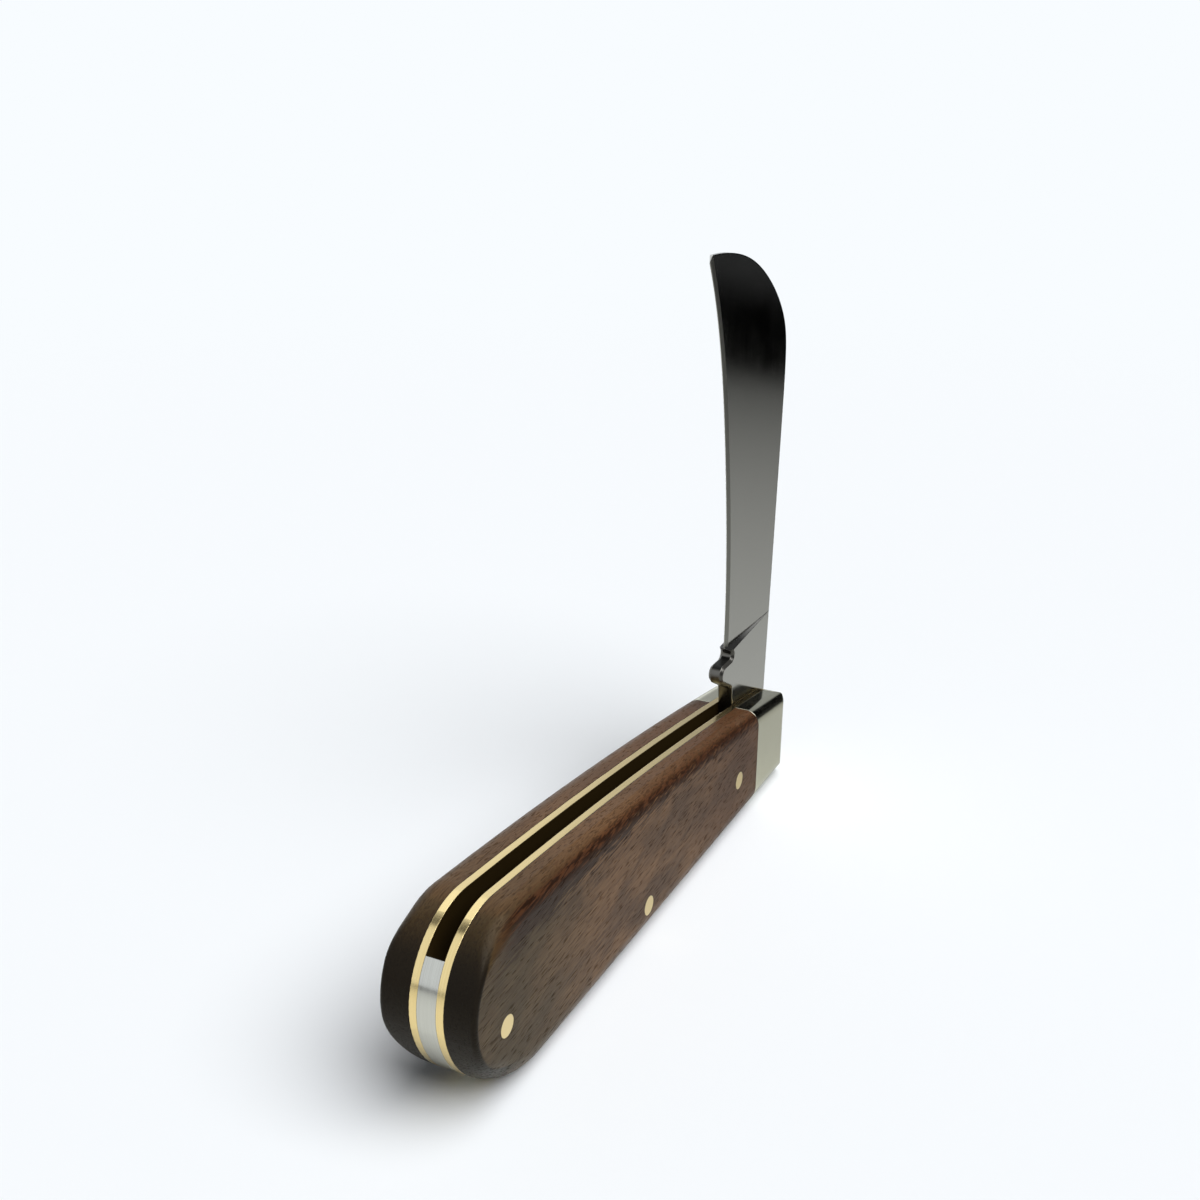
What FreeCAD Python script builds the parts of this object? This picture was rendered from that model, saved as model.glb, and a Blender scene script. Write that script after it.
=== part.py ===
import FreeCAD, Part
import math
import os

os.makedirs("parts", exist_ok=True)
V = FreeCAD.Vector

# Slip-joint pruning knife, in millimetres. It stands on its back with the blade half open.
# While it is drawn, X runs from the butt to the bolster end, Y across the handle, with the mark side
# at minus Y, and Z up from the back.
# At the end everything moves along X, so that the origin is in the middle of the flat back.

# Handle, seen from the side
handle_length = 102.8
butt_height = 25.0
front_height = 14.6
top_crown = 1.1
butt_length = 11.5
butt_radius = 10.45
belly_height = 12.6
nose_low_round = 3.6
nose_top_round = 4.2

# Handle, across
spring_width = 2.5
liner_thickness = 1.0
scale_thickness = 4.1
top_round = 2.3
butt_round = 0.6
back_round = 3.9
nose_depth = 5.2
bolster_length = 16.2

# Pins and rivets
pin_diameter = 2.8
butt_pin_x = 6.8
butt_pin_height = 11.2
spring_pin_x = 45.3
spring_pin_height = 5.0
scale_pin_inset = 7.8
scale_pin_height = 8.6
pivot_diameter = 3.2
pivot_inset = 8.2
pivot_height = 8.2
rivet_diameter = 1.6
rivet_depth = 2.2
rivet_inset = 3.2
rivet_spread = 7.4

# Back spring
pad_height = 3.0
pad_length = 10.0
pad_ramp = 2.2
spring_reach = 4.0
relief_height = 1.9
relief_length = 12.0
eye_wall = 1.8
well_wall = 2.4
trough_height = 5.0
well_end_drop = 3.9

# Blade, as it stands at the half stop
edge_thickness = 0.36
bevel_width = 0.8
bevel_thickness = 0.06
tang_walk = 0.7
tang_neck = 7.2
spine_flush = 0.2
spine_splay = 2.9
tip_gap = 1.5
tip_lead = 19.7
tip_blunt = 1.2
beak_drop = 33.0
edge_setback = 8.5
edge_start = 20.7
edge_hollow = 3.2
kick_radius = 1.55
kick_out = 10.4
kick_up = 15.35
kick_drop = 3.65
kick_chamfer = 0.45
notch_depth = 1.35
notch_radius = 0.7
notch_up = 18.9
plunge_up = 18.45
plunge_slope = 4.5
plunge_run = 0.45
open_turn = 87.0

# Clearances
blade_side_gap = 0.05
rest_gap = 0.03
step_gap = 0.2
pivot_clearance = 0.03

# Values that follow from the sizes
half_spring = spring_width / 2
blade_thickness = spring_width - 2 * blade_side_gap
liner_face = half_spring + liner_thickness
half_width = liner_face + scale_thickness
joint_x = handle_length - bolster_length
pivot_x = handle_length - pivot_inset
pin_radius = pin_diameter / 2
beyond = handle_length
well_end_height = butt_height - well_end_drop
well_wall_x = butt_pin_x + pin_radius + well_wall
side_round_top = min(top_round, scale_thickness - 0.2)
side_round_back = min(back_round, scale_thickness - 0.1)


def at(x, z, y=0.0):
    return V(x, y, z)


def line(a, b):
    return Part.LineSegment(a, b).toShape()


def prism(edges, y_low, y_high):
    face = Part.Face(Part.Wire(edges))
    face.translate(V(0, y_low, 0))
    return face.extrude(V(0, y_high - y_low, 0))


def cross_pin(x, z, diameter, y_low, y_high):
    return Part.makeCylinder(diameter / 2, y_high - y_low, V(x, y_low, z), V(0, 1, 0))


def slab(y_low, y_high, x_low=None, x_high=None):
    x_low = -beyond if x_low is None else x_low
    x_high = 2 * beyond if x_high is None else x_high
    return Part.makeBox(x_high - x_low, y_high - y_low, 3 * beyond, V(x_low, y_low, -beyond))


# The top edge of the handle is one long arc, crowned over its chord
top_low = at(butt_length, butt_height)
top_end = at(handle_length, front_height)
chord = top_end - top_low
top_radius = (chord.Length ** 2 / 4 + top_crown ** 2) / (2 * top_crown)
chord_up = V(-chord.z, 0, chord.x).normalize()
top_centre = (top_low + top_end) * 0.5 - chord_up * (top_radius - top_crown)


def top_at(x):
    return top_centre.z + math.sqrt(top_radius ** 2 - (x - top_centre.x) ** 2)


def fall_at(x):
    return math.asin((x - top_centre.x) / top_radius)


def arc(middle, radius, turn_a, turn_b):
    turns = [turn_a, (turn_a + turn_b) / 2, turn_b]
    return Part.Arc(*[middle + at(math.cos(turn), math.sin(turn)) * radius for turn in turns]).toShape()


# Side outline: straight back, rounded nose, crowned top, and a butt of two arcs that run into each other.
# The butt arc touches the top arc and the end of the handle, and the heel arc touches the back.
nose_fall = fall_at(handle_length - nose_top_round)
nose_x = handle_length - nose_top_round * (1 - math.sin(nose_fall))
nose_point = at(nose_x, top_at(nose_x))
nose_mid = at(handle_length - nose_top_round, nose_point.z - nose_top_round * math.cos(nose_fall))
nose_arc = arc(nose_mid, nose_top_round, 0, math.pi / 2 - nose_fall)
low_mid = at(handle_length - nose_low_round, nose_low_round)
low_arc = arc(low_mid, nose_low_round, -math.pi / 2, 0)
nose_line = line(at(handle_length, low_mid.z), at(handle_length, nose_mid.z))
low_start = at(low_mid.x, 0)
inner_radius = top_radius - butt_radius
butt_mid = at(butt_radius, top_centre.z + math.sqrt(inner_radius ** 2 - (butt_radius - top_centre.x) ** 2))
top_turn = math.pi / 2 - math.asin((butt_mid.x - top_centre.x) / inner_radius)
top_start = butt_mid + at(math.cos(top_turn), math.sin(top_turn)) * butt_radius
belly_turn = math.pi + math.asin((butt_mid.z - belly_height) / butt_radius)
heel_radius = belly_height / (1 + math.sin(belly_turn))
heel_mid = butt_mid + at(math.cos(belly_turn), math.sin(belly_turn)) * (butt_radius - heel_radius)
heel_turn = 1.5 * math.pi
heel = at(heel_mid.x, 0)
crown_x = (top_start.x + nose_x) / 2
outline = [
    line(heel, low_start),
    low_arc,
    nose_line,
    nose_arc,
    Part.Arc(nose_point, at(crown_x, top_at(crown_x)), top_start).toShape(),
    arc(butt_mid, butt_radius, top_turn, belly_turn),
    arc(heel_mid, heel_radius, belly_turn, heel_turn),
]

# Plan: both sides straight, and a nose of three arcs, tight at the corners and flatter in the middle
nose_start = handle_length - nose_depth
nose_corner = 0.8 * nose_depth
corner_mid = V(nose_start, half_width - nose_corner, 0)
front_radius = (corner_mid.y ** 2 + nose_depth ** 2 - nose_corner ** 2) / (2 * (nose_depth - nose_corner))
front_mid = V(handle_length - front_radius, 0, 0)
corner_turn = math.atan2(corner_mid.y, nose_start - front_mid.x)


def around(middle, radius, turn):
    return middle + V(math.cos(turn), math.sin(turn), 0) * radius


corner_arc = Part.Arc(around(corner_mid, nose_corner, math.pi / 2),
                      around(corner_mid, nose_corner, math.pi / 4 + corner_turn / 2),
                      around(corner_mid, nose_corner, corner_turn)).toShape()
front_arc = Part.Arc(around(front_mid, front_radius, corner_turn),
                     around(front_mid, front_radius, 0),
                     around(front_mid, front_radius, -corner_turn)).toShape()
plan_sides = [V(nose_start, -half_width, 0), V(-beyond, -half_width, 0),
              V(-beyond, half_width, 0), V(nose_start, half_width, 0)]
plan_edges = [line(a, b) for a, b in zip(plan_sides, plan_sides[1:])]
plan_edges += [corner_arc, front_arc, corner_arc.mirror(V(0, 0, 0), V(0, 1, 0))]
plan = Part.Face(Part.Wire(plan_edges)).extrude(V(0, 0, 4 * beyond))
plan.translate(V(0, 0, -beyond))

# Body: back, butt and top drawn past the nose, with a round along both sides.
# The round is wide along the top, tight round the butt and widest along the back, and it changes
# over the shoulder and the heel of the butt.
front_x = handle_length + butt_length
front_top = at(front_x, top_at(front_x))
front_low = at(front_x, 0)
arc_x = (top_start.x + front_x) / 2
shoulder_turns = [top_turn + (belly_turn - top_turn) * share for share in (0, 0.25, 0.62, 1)]
heel_turns = [belly_turn + (heel_turn - belly_turn) * share for share in (0, 0.55, 1)]
butt_pieces = [arc(butt_mid, butt_radius, a, b) for a, b in zip(shoulder_turns, shoulder_turns[1:])]
butt_pieces += [arc(heel_mid, heel_radius, a, b) for a, b in zip(heel_turns, heel_turns[1:])]
round_ends = [piece.valueAt(piece.FirstParameter) for piece in butt_pieces] + [heel]
round_sizes = [side_round_top, side_round_top, butt_round, butt_round, side_round_back, side_round_back]
body = prism([
    line(heel, front_low),
    line(front_low, front_top),
    Part.Arc(front_top, at(arc_x, top_at(arc_x)), top_start).toShape(),
] + butt_pieces, -half_width, half_width)


def round_at(point):
    if point.x > front_x - 1e-6:
        return side_round_top if point.z > front_top.z / 2 else side_round_back
    gaps = [(end - at(point.x, point.z)).Length for end in round_ends]
    return round_sizes[gaps.index(min(gaps))]


sheet = FreeCAD.newDocument("handle")
sharp_body = sheet.addObject("Part::Feature", "sharp_body")
sharp_body.Shape = body
round_body = sheet.addObject("Part::Fillet", "round_body")
round_body.Base = sharp_body
round_body.Edges = [
    (k + 1, round_at(e.valueAt(e.FirstParameter)), round_at(e.valueAt(e.LastParameter)))
    for k, e in enumerate(body.Edges)
    if abs(abs(e.CenterOfMass.y) - half_width) < 1e-6 and e.CenterOfMass.x < front_x - 1e-6]
sheet.recompute()

# What is cut away in front of the nose
past_nose = prism([
    low_arc,
    nose_line,
    nose_arc,
    line(nose_point, at(nose_x, beyond)),
    line(at(nose_x, beyond), at(2 * beyond, beyond)),
    line(at(2 * beyond, beyond), at(2 * beyond, -beyond)),
    line(at(2 * beyond, -beyond), at(low_start.x, -beyond)),
    line(at(low_start.x, -beyond), low_start),
], -beyond, beyond)

handle = prism(outline, -half_width, half_width)
envelope = round_body.Shape.common(plan).cut(past_nose)

# Holes that the pins and rivets share with what they hold
scale_pin_x = joint_x - scale_pin_inset
through = half_width + 1
butt_bar = cross_pin(butt_pin_x, butt_pin_height, pin_diameter, -through, through)
spring_bar = cross_pin(spring_pin_x, spring_pin_height, pin_diameter, -through, through)
scale_bar = cross_pin(scale_pin_x, scale_pin_height, pin_diameter, -through, through)
pivot_bar = cross_pin(pivot_x, pivot_height, pivot_diameter, -through, through)
rivet_places = [(joint_x + rivet_inset, pivot_height + rivet_spread / 2),
                (joint_x + rivet_inset, pivot_height - rivet_spread / 2)]
rivet_end = liner_face + rivet_depth


def rivets(sign):
    low = min(sign * half_spring, sign * rivet_end)
    high = max(sign * half_spring, sign * rivet_end)
    return Part.makeCompound([cross_pin(x, z, rivet_diameter, low, high) for x, z in rivet_places])


def side(sign):
    inner = sorted([sign * half_spring, sign * liner_face])
    outer = sorted([sign * liner_face, sign * (half_width + 1)])
    whole = sorted([sign * half_spring, sign * (half_width + 1)])
    bars = [butt_bar, spring_bar, scale_bar, pivot_bar, rivets(sign)]
    liner = envelope.common(slab(*inner)).cut(bars)
    scale = envelope.common(slab(*outer, x_high=joint_x)).cut([butt_bar, spring_bar, scale_bar])
    bolster = envelope.common(slab(*outer, x_low=joint_x)).cut([pivot_bar, rivets(sign)])
    scale_pin = scale_bar.common(envelope).common(slab(*whole))
    return liner, scale, bolster, scale_pin, rivets(sign)


mark_liner, mark_scale, mark_bolster, mark_pin, mark_rivets = side(-1)
pile_liner, pile_scale, pile_bolster, pile_pin, pile_rivets = side(1)
butt_pin = butt_bar.common(envelope)
spring_pin = spring_bar.common(envelope)
pivot_pin = pivot_bar.common(envelope)

# The back spring fills the handle between the liners up to the well that the blade folds into.
# From the butt: a sloping end wall round the butt pin, a trough, the eye round the spring pin,
# a thin stretch that flexes and takes the kick, and the pad under the tang.
spring_end = pivot_x + spring_reach
pad_start = spring_end - pad_length
relief_start = pad_start - pad_ramp
relief_end = relief_start - relief_length
eye_top = spring_pin_height + pin_radius + eye_wall
wall_high = butt_pin_height + pin_radius + eye_wall
butt_edge = handle.common(slab(-half_spring, half_spring)).common(
    Part.makeBox(3 * beyond, spring_width, 0.001, V(-beyond, -half_spring, well_end_height)))
well_end = at(butt_edge.BoundBox.XMin, well_end_height)
wall_turn = at(well_wall_x, wall_high)
well_out = well_end + (well_end - wall_turn).normalize() * butt_length
trough_x = (well_wall_x + spring_pin_x) / 2
well_floor = Part.BSplineCurve()
well_floor.interpolate(
    Points=[wall_turn, at(trough_x, trough_height), at(spring_pin_x, eye_top), at(relief_end, relief_height)],
    Tangents=[at(0.1, -1), at(1, 0), at(1, 0), at(1, 0)],
    TangentFlags=[True, True, True, True])
well = [
    line(well_out, wall_turn),
    well_floor.toShape(),
    line(at(relief_end, relief_height), at(relief_start, relief_height)),
    line(at(relief_start, relief_height), at(pad_start, pad_height)),
    line(at(pad_start, pad_height), at(spring_end, pad_height)),
    line(at(spring_end, pad_height), at(spring_end, -beyond)),
    line(at(spring_end, -beyond), at(2 * beyond, -beyond)),
    line(at(2 * beyond, -beyond), at(2 * beyond, beyond)),
    line(at(2 * beyond, beyond), at(well_out.x, beyond)),
    line(at(well_out.x, beyond), well_out),
]
backspring = handle.common(slab(-half_spring, half_spring)).cut(prism(well, -spring_width, spring_width))
backspring = backspring.cut([butt_bar, spring_bar])

# Blade, drawn from the pivot: u towards the bolster end, w up along the blade
flat_radius = pivot_height - pad_height - rest_gap
walk_radius = flat_radius + tang_walk
reach = pivot_x - well_wall_x - tip_gap
tip_up = math.sqrt(reach ** 2 - tip_lead ** 2)
spine_out = pivot_height - spine_flush
splay = math.tan(math.radians(spine_splay))
kick_reach = math.hypot(kick_out, kick_up)
kick_now = math.atan2(kick_up, -kick_out)
kick_folded = math.pi + math.asin((pivot_height - relief_height - kick_radius - rest_gap) / kick_reach)
fold_turn = math.degrees(kick_folded - kick_now)
print("turn to the open stop", open_turn, "and to the folded stop", round(fold_turn, 2))


def spine_u(w):
    return spine_out + splay * (w - spine_out)


def flat_cutter(turn):
    box = Part.makeBox(6 * walk_radius, 3 * blade_thickness, 3 * walk_radius,
                       V(-3 * walk_radius, -1.5 * blade_thickness, -flat_radius - 3 * walk_radius))
    box.rotate(V(0, 0, 0), V(0, 1, 0), turn)
    return box


half_blade = blade_thickness / 2
tang = Part.makeCylinder(walk_radius, blade_thickness, V(0, -half_blade, 0), V(0, 1, 0))
tang = tang.cut([flat_cutter(0), flat_cutter(-open_turn), flat_cutter(fold_turn)])
step_w = spring_reach + step_gap
open_angle = math.radians(open_turn)
step_u = (flat_radius + step_w * math.cos(open_angle)) / math.sin(open_angle)
flat_foot_u = flat_radius / math.sin(open_angle)
fold_angle = math.radians(fold_turn)
flat_half = math.sqrt(walk_radius ** 2 - flat_radius ** 2)
fold_corner = at(-flat_radius * math.sin(fold_angle) - flat_half * math.cos(fold_angle),
                 -flat_radius * math.cos(fold_angle) + flat_half * math.sin(fold_angle))
tip = at(-tip_lead, tip_up)
tip_back = tip + at(0.45, 0.9) * tip_blunt
edge_base = at(-edge_setback, edge_start)
edge_mid_w = (edge_start + tip_up) / 2
edge_mid = at(-(edge_setback + tip_lead) / 2 + edge_hollow, edge_mid_w)
edge_curve = Part.BSplineCurve()
edge_curve.interpolate(Points=[edge_base, edge_mid, tip], InitialTangent=at(0.02, 1), FinalTangent=at(-0.5, 0.87))
beak_w = tip_back.z - beak_drop
beak_low_w = tip_back.z - 0.58 * beak_drop
beak_bend_w = tip_back.z - 0.365 * beak_drop
beak_start = at(spine_u(beak_w), beak_w)
beak_curve = Part.BSplineCurve()
beak_curve.buildFromPoles([
    tip_back,
    tip_back + at(0.137, 0) * beak_drop,
    tip_back + at(0.47, -0.02) * beak_drop,
    at(spine_u(beak_bend_w) + 0.2, beak_bend_w),
    at(spine_u(beak_low_w), beak_low_w),
    beak_start,
], False, 3)
kick_centre = at(-kick_out, kick_up)
neck = at(-tang_neck, kick_up - kick_drop)
kick_top = at(-kick_out, kick_up + kick_radius)
notch_top = at(-edge_setback, notch_up)
notch_centre = at(-edge_setback + notch_depth - notch_radius, kick_top.z + notch_radius)
notch_low = notch_centre + at(0, -notch_radius)
notch_deep = notch_centre + at(notch_radius, 0)
notch_away = notch_top - notch_centre
notch_turn = math.atan2(notch_away.z, notch_away.x) - math.acos(notch_radius / notch_away.Length)
notch_high = notch_centre + at(math.cos(notch_turn), math.sin(notch_turn)) * notch_radius
kick_away = neck - kick_centre
kick_turn = math.atan2(kick_away.z, kick_away.x) - math.acos(kick_radius / kick_away.Length)
kick_low = kick_centre + at(math.cos(kick_turn), math.sin(kick_turn)) * kick_radius
profile = [
    edge_curve.toShape(),
    line(tip, tip_back),
    beak_curve.toShape(),
    line(beak_start, at(spine_u(step_w), step_w)),
    line(at(spine_u(step_w), step_w), at(step_u, step_w)),
    line(at(step_u, step_w), at(flat_foot_u, 0)),
    line(at(flat_foot_u, 0), fold_corner),
    line(fold_corner, neck),
    line(neck, kick_low),
    Part.Arc(kick_low, kick_centre + at(-kick_radius, 0), kick_top).toShape(),
    line(kick_top, notch_low),
    Part.Arc(notch_low, notch_deep, notch_high).toShape(),
    line(notch_high, notch_top),
    line(notch_top, edge_base),
]
blade = prism(profile, -half_blade, half_blade).fuse(tang)
kick_edges = [e for e in blade.Edges
              if abs(abs(e.CenterOfMass.y) - half_blade) < 1e-6
              and any((at(v.X, v.Z) - kick_low).Length < 1e-4 for v in e.Vertexes)]
blade = blade.makeChamfer(kick_chamfer, kick_edges)


# Flat grind: a ruled face from full thickness at the spine to the edge, on both sides,
# ended by a sloping plunge line in front of the square ricasso. A narrow bevel sharpens the edge.
def ground_side(near_edge, far_u, edge_half, far_half):
    low_w = plunge_up - 4 * bevel_width
    rows = [low_w + (1.04 * tip_up + 4 * bevel_width - low_w) * k / 6 for k in range(7)]
    low_line = []
    high_line = []
    for w in rows:
        u_edge = near_edge(w)
        u_far = far_u(w)
        rise = (far_half - edge_half) / (u_far - u_edge)
        low_line.append(V(u_edge - 6, edge_half - 6 * rise, w))
        high_line.append(V(u_far + 6, far_half + 6 * rise, w))
    low_curve = Part.BSplineCurve()
    low_curve.interpolate(low_line)
    high_curve = Part.BSplineCurve()
    high_curve.interpolate(high_line)
    skin = Part.makeRuledSurface(low_curve.toShape(), high_curve.toShape())
    return skin.extrude(V(0, 6 * blade_thickness, 0))


edge_rows = [edge_curve.value(edge_curve.FirstParameter
                              + (edge_curve.LastParameter - edge_curve.FirstParameter) * k / 60)
             for k in range(61)]


def edge_u(w):
    for a, b in zip(edge_rows, edge_rows[1:]):
        if w <= b.z:
            return a.x + (b.x - a.x) * (w - a.z) / (b.z - a.z)
    a, b = edge_rows[-2:]
    return b.x + (b.x - a.x) / (b.z - a.z) * (w - b.z)


flat_side = ground_side(edge_u, lambda w: spine_u(w), edge_thickness / 2, half_blade)
bevel_side = ground_side(edge_u, lambda w: edge_u(w) + bevel_width, bevel_thickness / 2, edge_thickness / 2)
pl = math.tan(math.radians(plunge_slope))
plunge_low = -tip_lead - 8
plunge_high = spine_out + 12
wall_u = [plunge_low, plunge_high]
wall_w = [plunge_up + pl * (u + edge_setback) for u in wall_u]
front = Part.Face(Part.Wire([
    line(V(wall_u[0], 0, wall_w[0] + plunge_run), V(wall_u[1], 0, wall_w[1] + plunge_run)),
    line(V(wall_u[1], 0, wall_w[1] + plunge_run), V(wall_u[1], half_blade, wall_w[1])),
    line(V(wall_u[1], half_blade, wall_w[1]), V(wall_u[0], half_blade, wall_w[0])),
    line(V(wall_u[0], half_blade, wall_w[0]), V(wall_u[0], 0, wall_w[0] + plunge_run)),
]))
keep = front.extrude(V(0, 0, 2 * tip_up))
flat_side = flat_side.common(keep)
bevel_side = bevel_side.common(keep)
mirror = V(0, 1, 0)
for cutter in (flat_side, bevel_side):
    blade = blade.cut([cutter, cutter.mirror(V(0, 0, 0), mirror)])
blade = blade.cut(Part.makeCylinder(pivot_diameter / 2 + pivot_clearance, 2 * blade_thickness,
                                    V(0, -blade_thickness, 0), V(0, 1, 0)))
blade = blade.removeSplitter()
blade.translate(at(pivot_x, pivot_height))

rest_middle = (heel.x + spring_end) / 2
nodes = {
    "blade": blade,
    "backspring": backspring,
    "mark_side_liner": mark_liner,
    "pile_side_liner": pile_liner,
    "mark_side_scale": mark_scale,
    "pile_side_scale": pile_scale,
    "mark_side_bolster": mark_bolster,
    "pile_side_bolster": pile_bolster,
    "butt_pin": butt_pin,
    "spring_pin": spring_pin,
    "pivot_pin": pivot_pin,
    "mark_side_scale_pin": mark_pin,
    "pile_side_scale_pin": pile_pin,
    "mark_side_bolster_rivets": mark_rivets,
    "pile_side_bolster_rivets": pile_rivets,
}
print("middle of the back from the butt", rest_middle, "pivot", pivot_x - rest_middle, pivot_height)
for name, shape in nodes.items():
    shape.translate(V(-rest_middle, 0, 0))
    print(name, len(shape.Solids), shape.isValid(), round(shape.Volume, 2))
    shape.exportStep("parts/" + name + ".step")
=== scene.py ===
import math

import bmesh
import bpy
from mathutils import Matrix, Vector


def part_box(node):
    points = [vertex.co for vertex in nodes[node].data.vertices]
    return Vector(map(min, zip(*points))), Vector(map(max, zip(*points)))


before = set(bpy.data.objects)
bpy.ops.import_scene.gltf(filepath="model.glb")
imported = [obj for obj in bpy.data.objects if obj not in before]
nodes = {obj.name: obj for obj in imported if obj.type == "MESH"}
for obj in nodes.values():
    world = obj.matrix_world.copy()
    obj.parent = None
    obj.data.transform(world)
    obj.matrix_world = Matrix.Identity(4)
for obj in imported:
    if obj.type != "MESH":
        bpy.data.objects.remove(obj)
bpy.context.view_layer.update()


def mm(*sizes):
    """Millimetres to metres: one number, or a tuple of them."""
    metres = tuple(size / 1000 for size in sizes)
    return metres if len(metres) > 1 else metres[0]


def colour(code):
    """An sRGB hex value as a linear colour."""
    parts = [int(code[k:k + 2], 16) / 255 for k in (1, 3, 5)]
    linear = [p / 12.92 if p <= 0.04045 else ((p + 0.055) / 1.055) ** 2.4 for p in parts]
    return (*linear, 1.0)


def add(tree, kind, inputs=None, **settings):
    """Adds a node with its settings, and fills its sockets with values or with links."""
    made = tree.nodes.new(kind)
    for name, value in settings.items():
        setattr(made, name, value)
    for socket, value in (inputs or {}).items():
        if isinstance(value, bpy.types.NodeSocket):
            tree.links.new(value, made.inputs[socket])
        else:
            made.inputs[socket].default_value = value
    return made


# A Mix node has two inputs and an output for each kind of data. These are the numbers of its sockets
factor = 0
number_a, number_b, mixed_number = 2, 3, 0
vector_a, vector_b, mixed_vector = 4, 5, 1
colour_a, colour_b, mixed_colour = 6, 7, 2


def new_material(name):
    """An empty material, its node tree, and the Object coordinates that its patterns are laid on."""
    material = bpy.data.materials.new(name)
    material.use_nodes = True
    tree = material.node_tree
    tree.nodes.clear()
    place = add(tree, "ShaderNodeTexCoord")
    return material, tree, place


# Sizes read from the frame
liner_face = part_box("pile_side_liner")[1].y
spring_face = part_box("backspring")[1].y
joint_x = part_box("mark_side_scale")[1].x
pivot = (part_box("pivot_pin")[0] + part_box("pivot_pin")[1]) / 2

# The arcs of the handle's outline, seen from the side: the long crowned top, and the butt
top_arc = mm(-108.4, 0, -933.0)
top_arc_radius = mm(960.1)
butt_arc = mm(-46.6, 0, 14.6)
butt_arc_radius = mm(10.45)
side_view = (1, 0, 1)


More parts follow.
